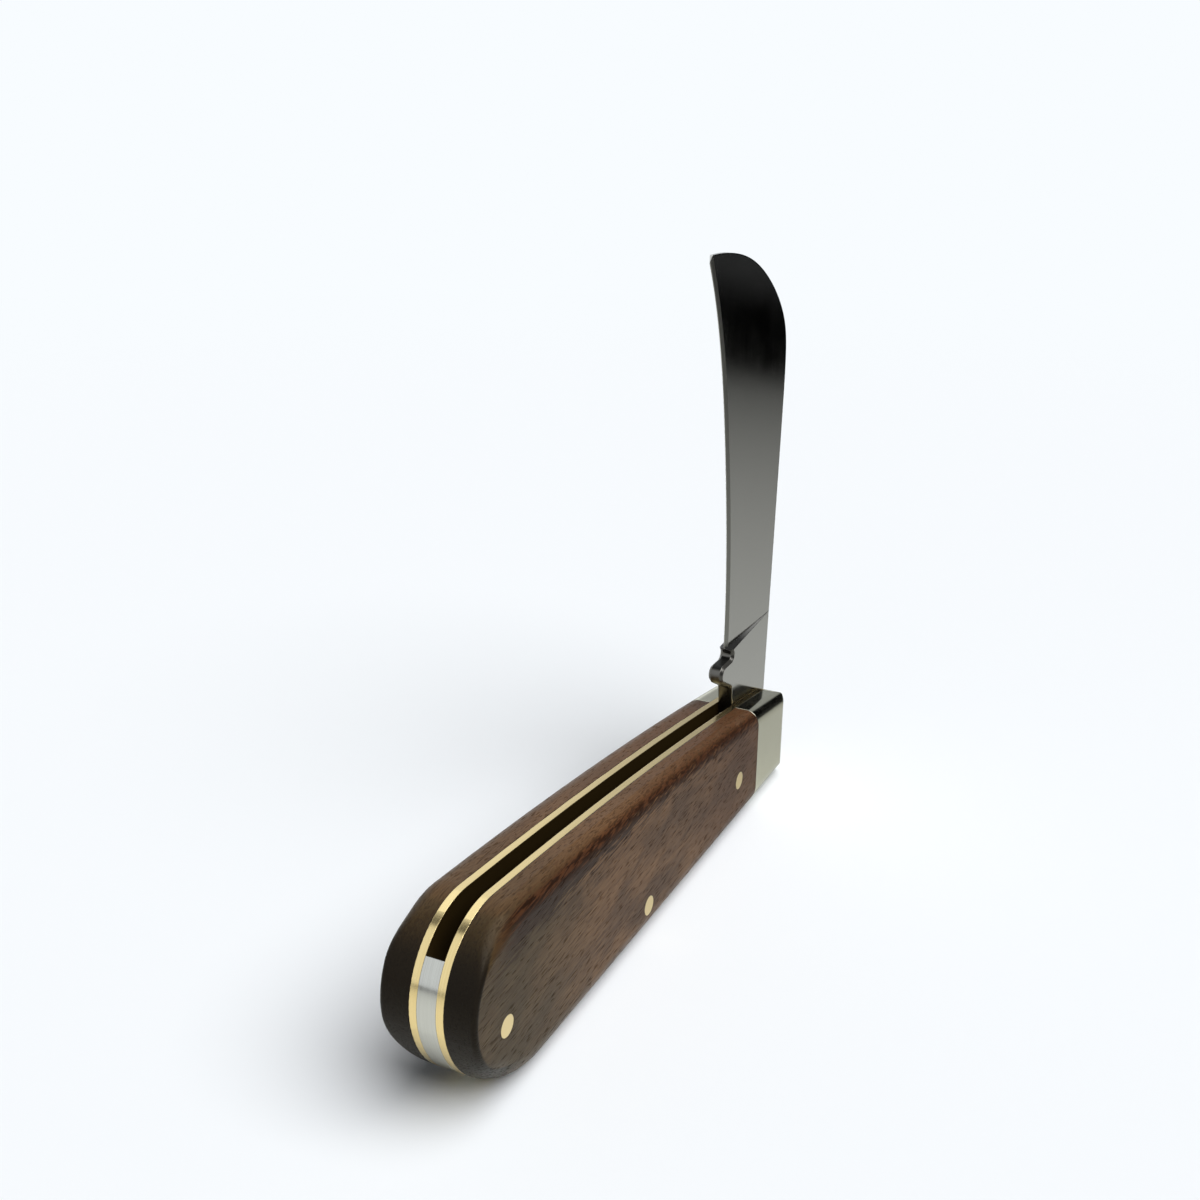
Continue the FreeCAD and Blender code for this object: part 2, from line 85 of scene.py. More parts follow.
def oiled_rosewood():
    """Rosewood, sanded, oiled and buffed: a dark red-brown with long fibres, short open pores and slow
    bands of colour, a soft sheen on the flats, and end grain that drinks the oil and goes nearly black."""
    material, tree, place = new_material("rosewood_oiled_and_buffed")
    grain = (0, math.radians(-4), 0)

    # Sizes along and across the grain. Fibres are drawn in bundles, as single ones are too fine to show
    fibre_size = mm(4, 0.3, 0.32)
    patch_size = mm(17, 7, 6)
    vessel_size = mm(1.9, 0.22, 0.24)
    fibres = add(tree, "ShaderNodeMapping", {
        "Vector": place.outputs["Object"], "Rotation": grain, "Scale": fibre_size,
    }, vector_type="TEXTURE")
    fibre = add(tree, "ShaderNodeTexNoise", {
        "Vector": fibres.outputs[0], "Scale": 1, "Detail": 4, "Distortion": 0.4,
    })
    patches = add(tree, "ShaderNodeMapping", {
        "Vector": place.outputs["Object"], "Rotation": grain, "Scale": patch_size,
    }, vector_type="TEXTURE")
    patch = add(tree, "ShaderNodeTexNoise", {
        "Vector": patches.outputs[0], "Scale": 1, "Detail": 4, "Distortion": 0.6,
    })
    vessels = add(tree, "ShaderNodeMapping", {
        "Vector": place.outputs["Object"], "Rotation": grain, "Scale": vessel_size,
    }, vector_type="TEXTURE")
    vessel = add(tree, "ShaderNodeTexNoise", {"Vector": vessels.outputs[0], "Scale": 1, "Detail": 1})
    pore = add(tree, "ShaderNodeMapRange", {
        "Value": vessel.outputs[0], "From Min": 0.54, "From Max": 0.68,
    }, interpolation_type="SMOOTHSTEP")
    body = add(tree, "ShaderNodeMapRange", {
        "Value": patch.outputs[0], "From Min": 0.36, "From Max": 0.64,
    }, interpolation_type="SMOOTHSTEP")
    figure = add(tree, "ShaderNodeMix", {
        factor: body.outputs[0], colour_a: colour("#503A29"), colour_b: colour("#6E5137"),
    }, data_type="RGBA")

    # Palest in the middle of the scale, darker and olive towards the butt, and redder towards the bolster
    olive_full, olive_gone = mm(-50, -20)
    red_starts, red_full = mm(-4, 22)
    point = add(tree, "ShaderNodeSeparateXYZ", {0: place.outputs["Object"]})
    butt_shade = add(tree, "ShaderNodeMapRange", {
        "Value": point.outputs["X"], "From Min": olive_full, "From Max": olive_gone,
        "To Min": 0.3, "To Max": 1,
    }, interpolation_type="SMOOTHSTEP")
    front_shade = add(tree, "ShaderNodeMapRange", {
        "Value": point.outputs["X"], "From Min": red_starts, "From Max": red_full,
        "To Min": 1, "To Max": 0.45,
    }, interpolation_type="SMOOTHSTEP")
    olive = add(tree, "ShaderNodeMix", {
        factor: butt_shade.outputs[0], colour_a: colour("#3A3420"), colour_b: figure.outputs[mixed_colour],
    }, data_type="RGBA")
    shaded = add(tree, "ShaderNodeMix", {
        factor: front_shade.outputs[0], colour_a: colour("#452512"), colour_b: olive.outputs[mixed_colour],
    }, data_type="RGBA")

    # How deep a point lies under the outline
    flat_point = add(tree, "ShaderNodeVectorMath", {
        0: place.outputs["Object"], 1: side_view,
    }, operation="MULTIPLY")
    top_away = add(tree, "ShaderNodeVectorMath", {
        0: flat_point.outputs[0], 1: top_arc,
    }, operation="DISTANCE")
    butt_away = add(tree, "ShaderNodeVectorMath", {
        0: flat_point.outputs[0], 1: butt_arc,
    }, operation="DISTANCE")
    top_depth = add(tree, "ShaderNodeMath", {
        0: top_arc_radius, 1: top_away.outputs["Value"],
    }, operation="SUBTRACT")
    butt_depth = add(tree, "ShaderNodeMath", {
        0: butt_arc_radius, 1: butt_away.outputs["Value"],
    }, operation="SUBTRACT")
    round_butt = add(tree, "ShaderNodeMath", {
        0: point.outputs["X"], 1: butt_arc[0],
    }, operation="LESS_THAN")
    depth = add(tree, "ShaderNodeMix", {
        factor: round_butt.outputs[0], number_a: top_depth.outputs[0], number_b: butt_depth.outputs[0],
    }, data_type="FLOAT")

    # A painted shade band, rust-red above and dark below, follows the shoulder of the round under the
    # outline, its edges torn by the fibres. It starts on the round of the butt, where it is widest, and
    # nears the outline towards the bolster
    start_faint, start_full = mm(-54, -46)
    lowest_faint, lowest_full = mm(8, 12.5)
    rise_starts, rise_ends = mm(-40, 25)
    most_rise = mm(1.0)
    spread_full, spread_gone = mm(-46, -12)
    most_spread = mm(1.8)
    most_tear = mm(1.9)
    band_shade_starts, band_shade_full = mm(0.5, 1.6)
    band_shade_fades, band_shade_ends = mm(2.0, 3.8)
    rust_starts, rust_full = mm(0.4, 1.0)
    rust_fades, rust_ends = mm(1.8, 3.4)
    streak_start = add(tree, "ShaderNodeMapRange", {
        "Value": point.outputs["X"], "From Min": start_faint, "From Max": start_full,
    }, interpolation_type="SMOOTHSTEP")
    upper_half = add(tree, "ShaderNodeMapRange", {
        "Value": point.outputs["Z"], "From Min": lowest_faint, "From Max": lowest_full,
    }, interpolation_type="SMOOTHSTEP")
    streak_place = add(tree, "ShaderNodeMath", {
        0: streak_start.outputs[0], 1: upper_half.outputs[0],
    }, operation="MULTIPLY")
    rise = add(tree, "ShaderNodeMapRange", {
        "Value": point.outputs["X"], "From Min": rise_starts, "From Max": rise_ends,
        "To Min": 0, "To Max": most_rise,
    })
    streak_depth = add(tree, "ShaderNodeMath", {0: depth.outputs[0], 1: rise.outputs[0]})
    ragged = add(tree, "ShaderNodeMapRange", {
        "Value": fibre.outputs[0], "From Min": 0.3, "From Max": 0.7,
        "To Min": -most_tear, "To Max": most_tear,
    })
    torn_depth = add(tree, "ShaderNodeMath", {0: streak_depth.outputs[0], 1: ragged.outputs[0]})
    spread = add(tree, "ShaderNodeMapRange", {
        "Value": point.outputs["X"], "From Min": spread_full, "From Max": spread_gone,
        "To Min": most_spread, "To Max": 0,
    })
    spread_depth = add(tree, "ShaderNodeMath", {
        0: torn_depth.outputs[0], 1: spread.outputs[0],
    }, operation="SUBTRACT")
    band_shade_high = add(tree, "ShaderNodeMapRange", {
        "Value": torn_depth.outputs[0], "From Min": band_shade_starts, "From Max": band_shade_full, "To Max": 0.95,
    }, interpolation_type="SMOOTHSTEP")
    band_shade_low = add(tree, "ShaderNodeMapRange", {
        "Value": spread_depth.outputs[0], "From Min": band_shade_fades, "From Max": band_shade_ends,
        "To Min": 1, "To Max": 0,
    }, interpolation_type="SMOOTHSTEP")
    band_shade_core = add(tree, "ShaderNodeMath", {
        0: band_shade_high.outputs[0], 1: band_shade_low.outputs[0],
    }, operation="MULTIPLY")
    painted_band_shade = add(tree, "ShaderNodeMath", {
        0: band_shade_core.outputs[0], 1: streak_place.outputs[0],
    }, operation="MULTIPLY")
    rust_high = add(tree, "ShaderNodeMapRange", {
        "Value": streak_depth.outputs[0], "From Min": rust_starts, "From Max": rust_full, "To Max": 0.75,
    }, interpolation_type="SMOOTHSTEP")
    rust_low = add(tree, "ShaderNodeMapRange", {
        "Value": torn_depth.outputs[0], "From Min": rust_fades, "From Max": rust_ends,
        "To Min": 1, "To Max": 0,
    }, interpolation_type="SMOOTHSTEP")
    rust_band = add(tree, "ShaderNodeMath", {
        0: rust_high.outputs[0], 1: rust_low.outputs[0],
    }, operation="MULTIPLY")
    rust = add(tree, "ShaderNodeMath", {
        0: rust_band.outputs[0], 1: streak_place.outputs[0],
    }, operation="MULTIPLY")
    # The painted shade band: rust-red above, then dark below
    rusty = add(tree, "ShaderNodeMix", {
        factor: rust.outputs[0], colour_a: shaded.outputs[mixed_colour], colour_b: colour("#5C3621"),
    }, data_type="RGBA")
    band_shaded = add(tree, "ShaderNodeMix", {
        factor: painted_band_shade.outputs[0], colour_a: rusty.outputs[mixed_colour], colour_b: colour("#23130B"),
    }, data_type="RGBA")

    # Above the painted band the round gets a painted highlight of paler amber
    ridge_highlight_full, ridge_highlight_gone = mm(0.2, 0.9)
    ridge_highlight_mask = add(tree, "ShaderNodeMapRange", {
        "Value": top_depth.outputs[0], "From Min": ridge_highlight_full, "From Max": ridge_highlight_gone,
        "To Min": 0.3, "To Max": 0,
    }, interpolation_type="SMOOTHSTEP")
    painted_ridge_highlight = add(tree, "ShaderNodeMix", {
        factor: ridge_highlight_mask.outputs[0], colour_a: band_shaded.outputs[mixed_colour], colour_b: colour("#84603E"),
    }, data_type="RGBA")

    # Dark fibres, and pores filled with oil
    pore_strength = 0.4
    streak = add(tree, "ShaderNodeMapRange", {
        "Value": fibre.outputs[0], "From Min": 0.36, "From Max": 0.62, "To Min": 0.5,
    })
    streaked = add(tree, "ShaderNodeMix", {
        factor: streak.outputs[0], colour_a: colour("#2E1C11"), colour_b: painted_ridge_highlight.outputs[mixed_colour],
    }, data_type="RGBA")
    pore_shade = add(tree, "ShaderNodeMath", {
        0: pore.outputs[0], 1: pore_strength,
    }, operation="MULTIPLY")
    pored = add(tree, "ShaderNodeMix", {
        factor: pore_shade.outputs[0], colour_a: streaked.outputs[mixed_colour],
        colour_b: colour("#160D08"),
    }, data_type="RGBA")

    # End grain faces along X: it is darkest round the butt, reaches further round towards the bottom of
    # the butt, and stops at the edge of the flat
    butt_foot = mm(4)
    rim_full, rim_gone = mm(0.5, 0.8)
    endward = add(tree, "ShaderNodeMath", {
        0: butt_arc[0], 1: point.outputs["X"],
    }, operation="SUBTRACT")
    along = add(tree, "ShaderNodeMath", {
        0: endward.outputs[0], 1: butt_away.outputs["Value"],
    }, operation="DIVIDE")
    under = add(tree, "ShaderNodeMapRange", {
        "Value": point.outputs["Z"], "From Min": butt_foot, "From Max": butt_arc[2],
        "To Min": 0.4, "To Max": 0,
    })
    around = add(tree, "ShaderNodeMath", {0: along.outputs[0], 1: under.outputs[0]})
    end_round = add(tree, "ShaderNodeMapRange", {
        "Value": around.outputs[0], "From Min": 0.3, "From Max": 0.85, "To Max": 0.9,
    }, interpolation_type="SMOOTHSTEP")
    end_rim = add(tree, "ShaderNodeMapRange", {
        "Value": butt_depth.outputs[0], "From Min": rim_full, "From Max": rim_gone,
        "To Min": 1, "To Max": 0,
    }, interpolation_type="SMOOTHSTEP")
    end_grain = add(tree, "ShaderNodeMath", {
        0: end_round.outputs[0], 1: end_rim.outputs[0],
    }, operation="MULTIPLY")
    ended = add(tree, "ShaderNodeMix", {
        factor: end_grain.outputs[0], colour_a: pored.outputs[mixed_colour], colour_b: colour("#0F0D0B"),
    }, data_type="RGBA")

    # Dark hairline of oil and polish where the scale meets the liner and the bolster
    seam_strength = 0.7
    outward = add(tree, "ShaderNodeMath", {0: point.outputs["Y"]}, operation="ABSOLUTE")
    liner_seam = add(tree, "ShaderNodeMapRange", {
        "Value": outward.outputs[0],
        "From Min": liner_face + mm(0.04), "From Max": liner_face + mm(0.14),
        "To Min": seam_strength, "To Max": 0,
    })
    bolster_seam = add(tree, "ShaderNodeMapRange", {
        "Value": point.outputs["X"],
        "From Min": joint_x - mm(0.16), "From Max": joint_x - mm(0.05),
        "To Min": 0, "To Max": seam_strength,
    })
    seam = add(tree, "ShaderNodeMath", {
        0: liner_seam.outputs[0], 1: bolster_seam.outputs[0],
    }, operation="MAXIMUM")
    wood = add(tree, "ShaderNodeMix", {
        factor: seam.outputs[0], colour_a: ended.outputs[mixed_colour], colour_b: colour("#120C08"),
    }, data_type="RGBA")

    # Buffed fibres shine, and open pores stay dull and lie lower
    pore_roughness = 0.6
    fibre_relief = 0.25
    gloss = add(tree, "ShaderNodeMapRange", {
        "Value": fibre.outputs[0], "From Min": 0.3, "From Max": 0.7, "To Min": 0.38, "To Max": 0.3,
    })
    dull = add(tree, "ShaderNodeMix", {
        factor: pore.outputs[0], number_a: gloss.outputs[0], number_b: pore_roughness,
    }, data_type="FLOAT")
    relief = add(tree, "ShaderNodeMath", {0: fibre.outputs[0], 1: fibre_relief}, operation="MULTIPLY")
    surface = add(tree, "ShaderNodeMath", {
        0: relief.outputs[0], 1: pore.outputs[0],
    }, operation="SUBTRACT")
    softened = add(tree, "ShaderNodeBevel", {"Radius": mm(0.2)}, samples=6)
    bump = add(tree, "ShaderNodeBump", {
        "Strength": 0.5, "Distance": mm(0.03),
        "Height": surface.outputs[0], "Normal": softened.outputs[0],
    })
    shader = add(tree, "ShaderNodeBsdfPrincipled", {
        "Base Color": wood.outputs[mixed_colour], "Roughness": dull.outputs[mixed_number], "IOR": 1.2,
        "Specular Tint": colour("#FFF3DF"), "Normal": bump.outputs[0],
    })
    add(tree, "ShaderNodeOutputMaterial", {"Surface": shader.outputs[0]})
    return material


def polished_brass(name, deep, pale, shine, in_well):
    """Brass, belt-finished and buffed: a warm pale yellow mirror, a little hazy along the run of the belt.
    Inside the well it is never polished, and goes dull and brown-black."""
    material, tree, place = new_material(name)
    haze = 0.05
    well_roughness = 0.6

    # Lines of the belt, drawn a little wider than the grit leaves them so that they show
    belt_line = mm(14, 0.12, 14)
    belt = add(tree, "ShaderNodeMapping", {
        "Vector": place.outputs["Object"], "Scale": belt_line,
    }, vector_type="TEXTURE")
    line = add(tree, "ShaderNodeTexNoise", {"Vector": belt.outputs[0], "Scale": 1, "Detail": 3})
    tone = add(tree, "ShaderNodeMix", {
        factor: line.outputs[0], colour_a: colour(deep), colour_b: colour(pale),
    }, data_type="RGBA")
    gloss = add(tree, "ShaderNodeMapRange", {
        "Value": line.outputs[0], "From Min": 0.3, "From Max": 0.7,
        "To Min": shine, "To Max": shine + haze,
    })
    point = add(tree, "ShaderNodeSeparateXYZ", {0: place.outputs["Object"]})
    outward = add(tree, "ShaderNodeMath", {0: point.outputs["Y"]}, operation="ABSOLUTE")
    tarnish = add(tree, "ShaderNodeMapRange", {
        "Value": outward.outputs[0],
        "From Min": spring_face + mm(0.01), "From Max": spring_face + mm(0.03),
        "To Min": 1 if in_well else 0, "To Max": 0,
    })
    metal = add(tree, "ShaderNodeMix", {
        factor: tarnish.outputs[0], colour_a: tone.outputs[mixed_colour], colour_b: colour("#4A3A1E"),
    }, data_type="RGBA")
    dulled = add(tree, "ShaderNodeMix", {
        factor: tarnish.outputs[0], number_a: gloss.outputs[0], number_b: well_roughness,
    }, data_type="FLOAT")
    softened = add(tree, "ShaderNodeBevel", {"Radius": mm(0.12)}, samples=4)
    shader = add(tree, "ShaderNodeBsdfPrincipled", {
        "Base Color": metal.outputs[mixed_colour], "Metallic": 1.0,
        "Roughness": dulled.outputs[mixed_number], "Normal": softened.outputs[0],
    })
    add(tree, "ShaderNodeOutputMaterial", {"Surface": shader.outputs[0]})
    return material


def polished_nickel_silver():
    """Nickel silver, buffed bright: a warm grey mirror with the faint yellow of its copper. The pivot pin
    is of the same metal, filed flush and buffed with the bolster, so its edge is not softened."""
    material, tree, place = new_material("nickel_silver_polished")
    haze_size = mm(6)
    pin_edge, pin_clear = mm(2.0, 2.3)
    haze = add(tree, "ShaderNodeTexNoise", {
        "Vector": place.outputs["Object"], "Scale": 1 / haze_size, "Detail": 4,
    })
    tone = add(tree, "ShaderNodeMix", {
        factor: haze.outputs[0], colour_a: colour("#CCCAB5"), colour_b: colour("#D9D7C3"),
    }, data_type="RGBA")
    gloss = add(tree, "ShaderNodeMapRange", {
        "Value": haze.outputs[0], "From Min": 0.3, "From Max": 0.7, "To Min": 0.12, "To Max": 0.2,
    })
    point = add(tree, "ShaderNodeVectorMath", {
        0: place.outputs["Object"], 1: side_view,
    }, operation="MULTIPLY")
    from_pin = add(tree, "ShaderNodeVectorMath", {
        0: point.outputs[0], 1: (pivot.x, 0, pivot.z),
    }, operation="DISTANCE")
    clear_of_pin = add(tree, "ShaderNodeMapRange", {
        "Value": from_pin.outputs["Value"], "From Min": pin_edge, "From Max": pin_clear,
    })
    rounded = add(tree, "ShaderNodeBevel", {"Radius": mm(0.25)}, samples=6)
    plain = add(tree, "ShaderNodeNewGeometry")
    softened = add(tree, "ShaderNodeMix", {
        factor: clear_of_pin.outputs[0], vector_a: plain.outputs["Normal"], vector_b: rounded.outputs[0],
    }, data_type="VECTOR")
    shader = add(tree, "ShaderNodeBsdfPrincipled", {
        "Base Color": tone.outputs[mixed_colour], "Metallic": 1.0, "Roughness": gloss.outputs[0],
        "Normal": softened.outputs[mixed_vector],
    })
    add(tree, "ShaderNodeOutputMaterial", {"Surface": shader.outputs[0]})
    return material


def satin_spring_steel():
    """Carbon spring steel, ground flush with the liners: a light satin grey with fine lines along the
    back."""
    material, tree, place = new_material("spring_steel_satin")

    # Lines of the belt, drawn a little wider than the grit leaves them so that they show
    belt_line = mm(12, 0.1, 12)
    belt = add(tree, "ShaderNodeMapping", {
        "Vector": place.outputs["Object"], "Scale": belt_line,
    }, vector_type="TEXTURE")
    line = add(tree, "ShaderNodeTexNoise", {"Vector": belt.outputs[0], "Scale": 1, "Detail": 3})
    tone = add(tree, "ShaderNodeMix", {
        factor: line.outputs[0], colour_a: colour("#B2B2AC"), colour_b: colour("#D0D0CA"),
    }, data_type="RGBA")
    gloss = add(tree, "ShaderNodeMapRange", {
        "Value": line.outputs[0], "From Min": 0.3, "From Max": 0.7, "To Min": 0.12, "To Max": 0.2,
    })
    softened = add(tree, "ShaderNodeBevel", {"Radius": mm(0.12)}, samples=4)
    shader = add(tree, "ShaderNodeBsdfPrincipled", {
        "Base Color": tone.outputs[mixed_colour], "Metallic": 1.0, "Roughness": gloss.outputs[0],
        "Normal": softened.outputs[0],
    })
    add(tree, "ShaderNodeOutputMaterial", {"Surface": shader.outputs[0]})
    return material


def glazed_blade_steel():
    """Carbon blade steel, glazed to a mirror: it shows the room more than itself. The narrow edge bevel
    comes straight off the stone and stays greyer and rougher."""
    material, tree, place = new_material("blade_steel_glazed")

    # Lines of the glazing wheel, drawn wider than it leaves them so that they show, and a slow haze
    buff_line = mm(0.25, 4, 9)
    haze_size = mm(9)
    buff = add(tree, "ShaderNodeMapping", {
        "Vector": place.outputs["Object"], "Scale": buff_line,
    }, vector_type="TEXTURE")
    line = add(tree, "ShaderNodeTexNoise", {"Vector": buff.outputs[0], "Scale": 1, "Detail": 3})
    haze = add(tree, "ShaderNodeTexNoise", {
        "Vector": place.outputs["Object"], "Scale": 1 / haze_size, "Detail": 3,
    })
    cloud = add(tree, "ShaderNodeMath", {0: line.outputs[0], 1: haze.outputs[0]}, operation="MULTIPLY")
    gloss = add(tree, "ShaderNodeMapRange", {
        "Value": cloud.outputs[0], "From Min": 0.15, "From Max": 0.4, "To Min": 0.1, "To Max": 0.17,
    })

    # The edge bevel leans towards the edge by more than the flats, and by less than the notch and the kick
    stone_roughness = 0.34
    facing = add(tree, "ShaderNodeSeparateXYZ", {0: place.outputs["Normal"]})
    lean = add(tree, "ShaderNodeMath", {0: facing.outputs["X"], 1: -1}, operation="MULTIPLY")
    over_flats = add(tree, "ShaderNodeMapRange", {
        "Value": lean.outputs[0], "From Min": 0.1, "From Max": 0.14,
    })
    under_kick = add(tree, "ShaderNodeMapRange", {
        "Value": lean.outputs[0], "From Min": 0.3, "From Max": 0.4, "To Min": 1, "To Max": 0,
    })
    honed = add(tree, "ShaderNodeMath", {
        0: over_flats.outputs[0], 1: under_kick.outputs[0],
    }, operation="MULTIPLY")
    glazed = add(tree, "ShaderNodeMix", {
        factor: honed.outputs[0], colour_a: colour("#C9C8C4"), colour_b: colour("#9A9A94"),
    }, data_type="RGBA")
    rough = add(tree, "ShaderNodeMix", {
        factor: honed.outputs[0], number_a: gloss.outputs[0], number_b: stone_roughness,
    }, data_type="FLOAT")

    # The plunge faces up, and is painted dark and no metal there: a painted dark reflection, most of all
    # at the edge
    grind_top = mm(40)
    plunge_dark, plunge_pale = mm(34, 43)
    point = add(tree, "ShaderNodeSeparateXYZ", {0: place.outputs["Object"]})
    upward = add(tree, "ShaderNodeMapRange", {
        "Value": facing.outputs["Z"], "From Min": 0.6, "From Max": 0.8,
    })
    low = add(tree, "ShaderNodeMath", {0: point.outputs["Z"], 1: grind_top}, operation="LESS_THAN")
    across = add(tree, "ShaderNodeMapRange", {
        "Value": point.outputs["X"], "From Min": plunge_dark, "From Max": plunge_pale,
        "To Min": 1, "To Max": 0.6,
    })
    step = add(tree, "ShaderNodeMath", {0: upward.outputs[0], 1: low.outputs[0]}, operation="MULTIPLY")
    painted_plunge_reflection = add(tree, "ShaderNodeMath", {0: step.outputs[0], 1: across.outputs[0]}, operation="MULTIPLY")

    # The kick and the edge of the tang below it are filed duller than the flats, and painted darker as a
    # painted dark reflection
    file_roughness = 0.28
    tang_edge_full, tang_edge_gone = mm(33.2, 33.8)
    kick_full, kick_gone = mm(27.2, 27.8)
    tang_edge = add(tree, "ShaderNodeMapRange", {
        "Value": point.outputs["X"], "From Min": tang_edge_full, "From Max": tang_edge_gone,
        "To Min": 1, "To Max": 0,
    })
    kick_top = add(tree, "ShaderNodeMapRange", {
        "Value": point.outputs["Z"], "From Min": kick_full, "From Max": kick_gone,
        "To Min": 1, "To Max": 0,
    })
    sideways = add(tree, "ShaderNodeMath", {0: facing.outputs["Y"]}, operation="ABSOLUTE")
    not_flat = add(tree, "ShaderNodeMapRange", {
        "Value": sideways.outputs[0], "From Min": 0.9, "From Max": 0.98, "To Min": 1, "To Max": 0,
    })
    lobe = add(tree, "ShaderNodeMath", {
        0: tang_edge.outputs[0], 1: kick_top.outputs[0],
    }, operation="MULTIPLY")
    kick = add(tree, "ShaderNodeMath", {0: lobe.outputs[0], 1: not_flat.outputs[0]}, operation="MULTIPLY")
    # Painted dark reflection on the kick and the edge of the tang
    kick_painted_dark = add(tree, "ShaderNodeMix", {
        factor: kick.outputs[0], colour_a: glazed.outputs[mixed_colour], colour_b: colour("#64625E"),
    }, data_type="RGBA")
    # Painted dark reflection on the plunge
    metal = add(tree, "ShaderNodeMix", {
        factor: painted_plunge_reflection.outputs[0], colour_a: kick_painted_dark.outputs[mixed_colour], colour_b: colour("#161615"),
    }, data_type="RGBA")
    dulled = add(tree, "ShaderNodeMix", {
        factor: kick.outputs[0], number_a: rough.outputs[mixed_number], number_b: file_roughness,
    }, data_type="FLOAT")
    metal_share = add(tree, "ShaderNodeMath", {0: 1, 1: painted_plunge_reflection.outputs[0]}, operation="SUBTRACT")
    softened = add(tree, "ShaderNodeBevel", {"Radius": mm(0.25)}, samples=6)
    shader = add(tree, "ShaderNodeBsdfPrincipled", {
        "Base Color": metal.outputs[mixed_colour], "Metallic": metal_share.outputs[0],
        "Roughness": dulled.outputs[mixed_number], "Specular IOR Level": 0.1,
        "Normal": softened.outputs[0],
    })
    add(tree, "ShaderNodeOutputMaterial", {"Surface": shader.outputs[0]})
    return material


rosewood = oiled_rosewood()
liner_brass = polished_brass("brass_liner_buffed", "#E2C88A", "#EFDAA4", shine=0.16, in_well=True)
pin_brass = polished_brass("brass_pin_filed_flush", "#DFCA94", "#EBD8A8", shine=0.3, in_well=False)
nickel_silver = polished_nickel_silver()
spring_steel = satin_spring_steel()
blade_steel = glazed_blade_steel()
finishes = {
    "blade": blade_steel,
    "backspring": spring_steel,
    "mark_side_liner": liner_brass,
    "pile_side_liner": liner_brass,
    "mark_side_scale": rosewood,
    "pile_side_scale": rosewood,
    "mark_side_bolster": nickel_silver,
    "pile_side_bolster": nickel_silver,
    "butt_pin": pin_brass,
    "spring_pin": pin_brass,
    "pivot_pin": nickel_silver,
    "mark_side_scale_pin": pin_brass,
    "pile_side_scale_pin": pin_brass,
    "mark_side_bolster_rivets": nickel_silver,
    "pile_side_bolster_rivets": nickel_silver,
}
for name, finish in finishes.items():
    nodes[name].data.materials.clear()
    nodes[name].data.materials.append(finish)

# Stage: a pale table that fades into the backdrop, and cards round it that only reflections see, as in a
# photo studio. The flag stands ahead of the knife on the mark side
backdrop = colour("#F8FCFF")
flag_way = (0.85, -0.53, 0)
flag_away = mm(390)
back_way = (-0.5, 0.87, 0)


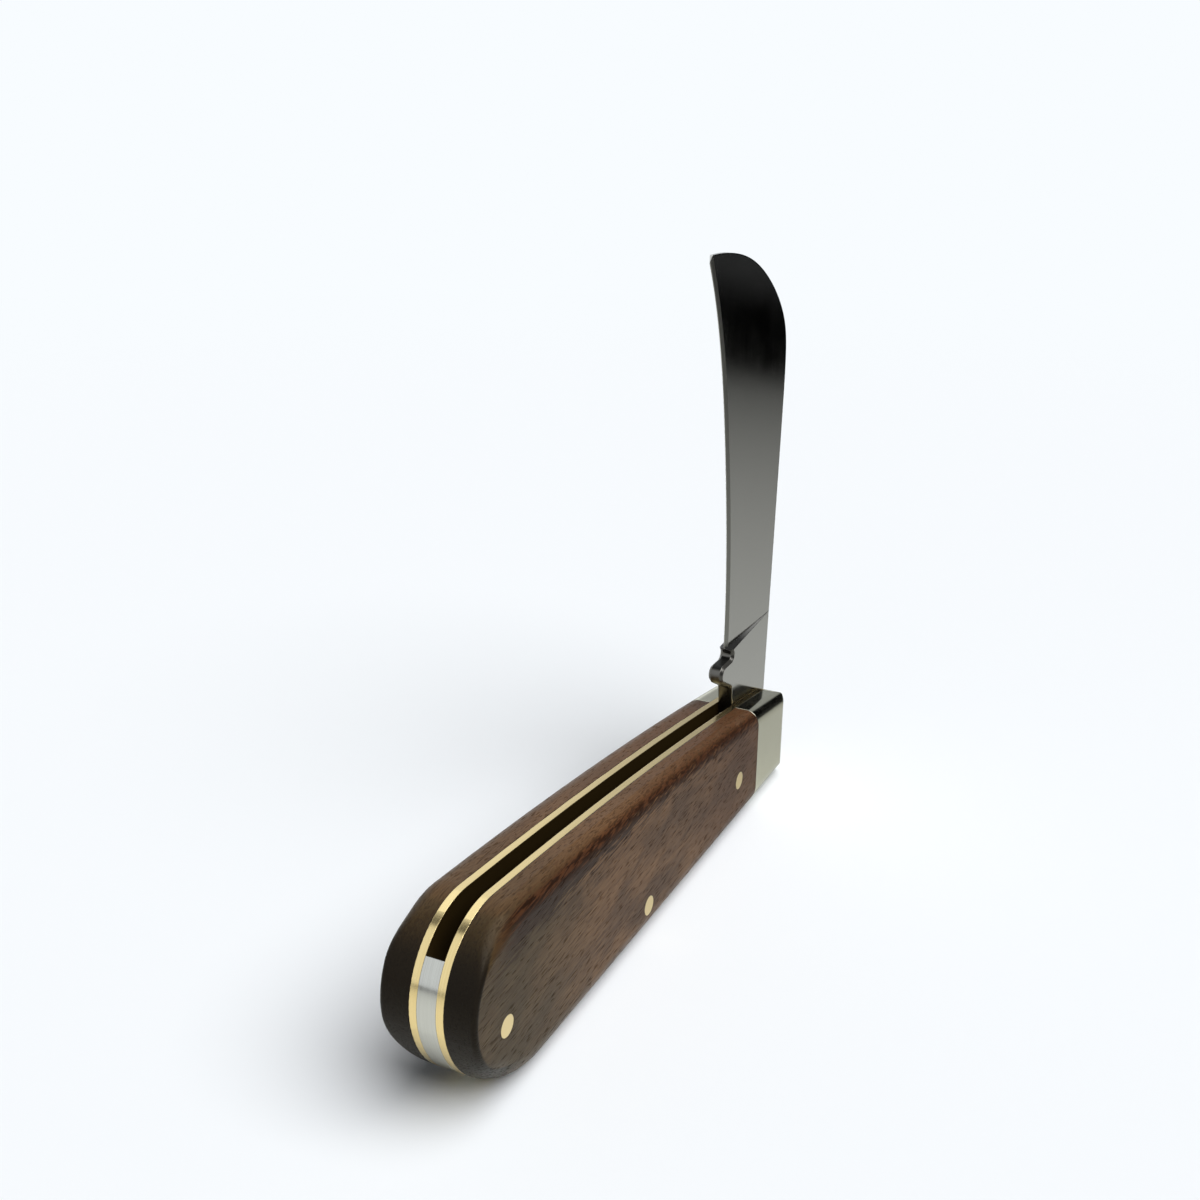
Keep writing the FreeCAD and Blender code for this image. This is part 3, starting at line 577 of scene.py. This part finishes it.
def pale_table():
    """Matt white table top: it keeps the soft shadow, and far away it turns into the backdrop. What metal
    sees of it is a painted pool of light: bright beside the knife, with painted shade in front of the flag
    and far behind."""
    material, tree, place = new_material("table_matt_white")
    fade_starts, fade_ends = mm(250, 600)
    beside_starts, beside_ends = mm(-30, 40)
    ahead_ends = mm(345)
    edge_starts, edge_ends = mm(338, 380)
    far_side_starts, far_side_ends = mm(20, 80)
    behind_starts, behind_ends = mm(60, 380)
    rays = add(tree, "ShaderNodeLightPath")
    away = add(tree, "ShaderNodeVectorMath", {0: place.outputs["Object"]}, operation="LENGTH")
    far = add(tree, "ShaderNodeMapRange", {
        "Value": away.outputs["Value"], "From Min": fade_starts, "From Max": fade_ends,
    }, interpolation_type="SMOOTHSTEP")
    to_flag = add(tree, "ShaderNodeVectorMath", {
        0: place.outputs["Object"], 1: flag_way,
    }, operation="DOT_PRODUCT")
    beside = add(tree, "ShaderNodeMapRange", {
        "Value": to_flag.outputs["Value"], "From Min": beside_starts, "From Max": beside_ends,
        "To Min": 1, "To Max": 0.55,
    })
    ahead = add(tree, "ShaderNodeMapRange", {
        "Value": to_flag.outputs["Value"], "From Min": beside_ends, "From Max": ahead_ends,
        "To Min": 1, "To Max": 0.21,
    })
    # Painted shade at the foot of the flag
    edge = add(tree, "ShaderNodeMapRange", {
        "Value": to_flag.outputs["Value"], "From Min": edge_starts, "From Max": edge_ends,
        "To Min": 1, "To Max": 0,
    })
    ramp = add(tree, "ShaderNodeMath", {0: beside.outputs[0], 1: ahead.outputs[0]}, operation="MULTIPLY")
    dimmed = add(tree, "ShaderNodeMath", {0: ramp.outputs[0], 1: edge.outputs[0]}, operation="MULTIPLY")
    point = add(tree, "ShaderNodeSeparateXYZ", {0: place.outputs["Object"]})
    far_side = add(tree, "ShaderNodeMapRange", {
        "Value": point.outputs["Y"], "From Min": far_side_starts, "From Max": far_side_ends,
    })
    both = add(tree, "ShaderNodeMath", {0: dimmed.outputs[0], 1: far_side.outputs[0]}, operation="MAXIMUM")
    to_back = add(tree, "ShaderNodeVectorMath", {
        0: place.outputs["Object"], 1: back_way,
    }, operation="DOT_PRODUCT")
    behind = add(tree, "ShaderNodeMapRange", {
        "Value": to_back.outputs["Value"], "From Min": behind_starts, "From Max": behind_ends,
        "To Min": 1, "To Max": 0.2,
    })
    lit = add(tree, "ShaderNodeMath", {0: both.outputs[0], 1: behind.outputs[0]}, operation="MULTIPLY")
    reflected = add(tree, "ShaderNodeMix", {
        factor: lit.outputs[0], colour_a: colour("#000000"), colour_b: colour("#F1F3EF"),
    }, data_type="RGBA")
    tone = add(tree, "ShaderNodeMix", {
        factor: rays.outputs["Is Glossy Ray"], colour_a: colour("#F0F3F6"),
        colour_b: reflected.outputs[mixed_colour],
    }, data_type="RGBA")
    matt = add(tree, "ShaderNodeBsdfDiffuse", {"Color": tone.outputs[mixed_colour]})
    glow = add(tree, "ShaderNodeEmission", {"Color": backdrop, "Strength": 1})
    fade = add(tree, "ShaderNodeMath", {
        0: far.outputs[0], 1: rays.outputs["Is Camera Ray"],
    }, operation="MULTIPLY")
    mixed = add(tree, "ShaderNodeMixShader", {0: fade.outputs[0], 1: matt.outputs[0], 2: glow.outputs[0]})
    add(tree, "ShaderNodeOutputMaterial", {"Surface": mixed.outputs[0]})
    return material


def card_paper(name, strength):
    """Studio paper of one brightness."""
    material, tree = new_material(name)[:2]
    glow = add(tree, "ShaderNodeEmission", {"Color": backdrop, "Strength": strength})
    add(tree, "ShaderNodeOutputMaterial", {"Surface": glow.outputs[0]})
    return material


def graded_paper(name, way, low, high, dim, bright):
    """Studio paper that is dim at one distance along a way and bright at another."""
    material, tree, place = new_material(name)
    along = add(tree, "ShaderNodeVectorMath", {
        0: place.outputs["Object"], 1: way,
    }, operation="DOT_PRODUCT")
    level = add(tree, "ShaderNodeMapRange", {
        "Value": along.outputs["Value"], "From Min": low, "From Max": high,
        "To Min": dim, "To Max": bright,
    })
    glow = add(tree, "ShaderNodeEmission", {"Color": backdrop, "Strength": level.outputs[0]})
    add(tree, "ShaderNodeOutputMaterial", {"Surface": glow.outputs[0]})
    return material


def stage_plane(name, material, corners):
    """A four-cornered sheet for the stage, linked into the scene."""
    sheet = bmesh.new()
    sheet.faces.new([sheet.verts.new(corner) for corner in corners])
    mesh = bpy.data.meshes.new(name)
    sheet.to_mesh(mesh)
    sheet.free()
    mesh.materials.append(material)
    plane = bpy.data.objects.new(name, mesh)
    bpy.context.scene.collection.objects.link(plane)
    return plane


def card(name, material, corners):
    """A sheet that only reflections see."""
    sheet = stage_plane(name, material, corners)
    sheet.visible_camera = False
    sheet.visible_diffuse = False
    sheet.visible_shadow = False


def standing_card(name, material, start, end, low, high):
    """A card that stands on the line between two places on the table."""
    card(name, material, [(*start, low), (*end, low), (*end, high), (*start, high)])


def lying_card(name, material, places, height):
    """A level card over four places on the table."""
    card(name, material, [(*place, height) for place in places])


table_half = mm(8000)
stage_plane("table", pale_table(), [
    (-table_half, -table_half, 0), (table_half, -table_half, 0),
    (table_half, table_half, 0), (-table_half, table_half, 0),
])

# The flag is black, but for a grey strip near its foot, which shows in the tip of the blade
up = (0, 0, 1)
flag_near_length = mm(600)
flag_far_length = mm(220)
grey_starts, grey_full = mm(23, 36)
flag_foot_top = mm(45)
flag_top = mm(290)
foot = [part * flag_away for part in flag_way]
near_end = (foot[0] + flag_way[1] * flag_near_length, foot[1] - flag_way[0] * flag_near_length)
far_end = (foot[0] - flag_way[1] * flag_far_length, foot[1] + flag_way[0] * flag_far_length)
foot_grey = graded_paper("studio_flag_grey", up, grey_starts, grey_full, 0, 0.036)
standing_card("flag_foot", foot_grey, near_end, far_end, 0, flag_foot_top)
standing_card("flag", card_paper("studio_flag_black", 0), near_end, far_end, flag_foot_top, flag_top)
side_end = mm(-750, -750)
side_flag_top = mm(750)
side_black = card_paper("studio_side_flag_black", 0.05)
standing_card("side_flag", side_black, side_end, near_end, 0, side_flag_top)

# The wall stands a metre ahead of the knife. It is dim, and grows bright to the left
wall_way = (0.914, 0.407)
leftward = (-wall_way[1], wall_way[0], 0)
right_length = mm(950)
left_length = mm(120)
wall_top = mm(600)
wall_right = (wall_way[0] - right_length * leftward[0], wall_way[1] - right_length * leftward[1])
wall_left = (wall_way[0] + left_length * leftward[0], wall_way[1] + left_length * leftward[1])
wall_grey = graded_paper("studio_wall_grey", leftward, mm(-100), mm(100), 0.34, 1)
standing_card("wall", wall_grey, wall_right, wall_left, 0, wall_top)

# Cards that only reflections see: a glowing card overhead that paints a soft box's highlight, a dark gap
# beside it, and a dark strip just over the table behind the camera that paints a dark line in reflections
overhead = mm(620)
just_over_table = mm(0.2)
lying_card("soft_box", card_paper("soft_box_painted_highlight", 1.25), [
    mm(-40, -100), mm(600, -100), mm(600, 900), mm(-40, 900),
], overhead)
lying_card("gap", card_paper("studio_gap_dark", 0.1), [
    mm(-200, -300), mm(-40, -300), mm(-40, 1200), mm(-200, 1200),
], overhead)
lying_card("dark_strip_card", card_paper("dark_strip_painted_reflection", 0.4), [
    mm(-400, -160), mm(-120, 370), mm(-190, 410), mm(-470, -120),
], just_over_table)

# Light: one broad soft key from the right and above, and the pale room, at full strength only where it
# is seen
ambient = 0.1
world = bpy.data.worlds.new("pale_room")
bpy.context.scene.world = world
world.use_nodes = True
room = world.node_tree
room.nodes.clear()
rays = add(room, "ShaderNodeLightPath")
seen = add(room, "ShaderNodeMath", {
    0: rays.outputs["Is Camera Ray"], 1: rays.outputs["Is Glossy Ray"],
}, operation="MAXIMUM")
shown = add(room, "ShaderNodeMath", {
    0: seen.outputs[0], 1: rays.outputs["Is Transmission Ray"],
}, operation="MAXIMUM")
level = add(room, "ShaderNodeMapRange", {"Value": shown.outputs[0], "To Min": ambient, "To Max": 1})
sky = add(room, "ShaderNodeBackground", {"Color": backdrop, "Strength": level.outputs[0]})
add(room, "ShaderNodeOutputWorld", {"Surface": sky.outputs[0]})

key = bpy.data.lights.new("key", "SUN")
key.energy = 3.48
key.angle = math.radians(60)
key_lamp = bpy.data.objects.new("key", key)
key_lamp.rotation_euler = (math.radians(28), 0, math.radians(-5))
bpy.context.scene.collection.objects.link(key_lamp)

# Camera: the photograph's own viewpoint, close above the butt and a little to the mark side
lens = bpy.data.cameras.new("camera")
lens.sensor_width = 36
lens.lens = 42.67
lens.shift_x = -0.0361
lens.shift_y = 0.0029
lens.clip_start = mm(5)
camera = bpy.data.objects.new("camera", lens)
camera.location = mm(-165.82, -75.73, 113.74)
camera.rotation_euler = (math.radians(69.217), math.radians(-0.983), math.radians(-64.855))
bpy.context.scene.collection.objects.link(camera)
bpy.context.scene.camera = camera
bpy.context.scene.view_settings.view_transform = "Standard"
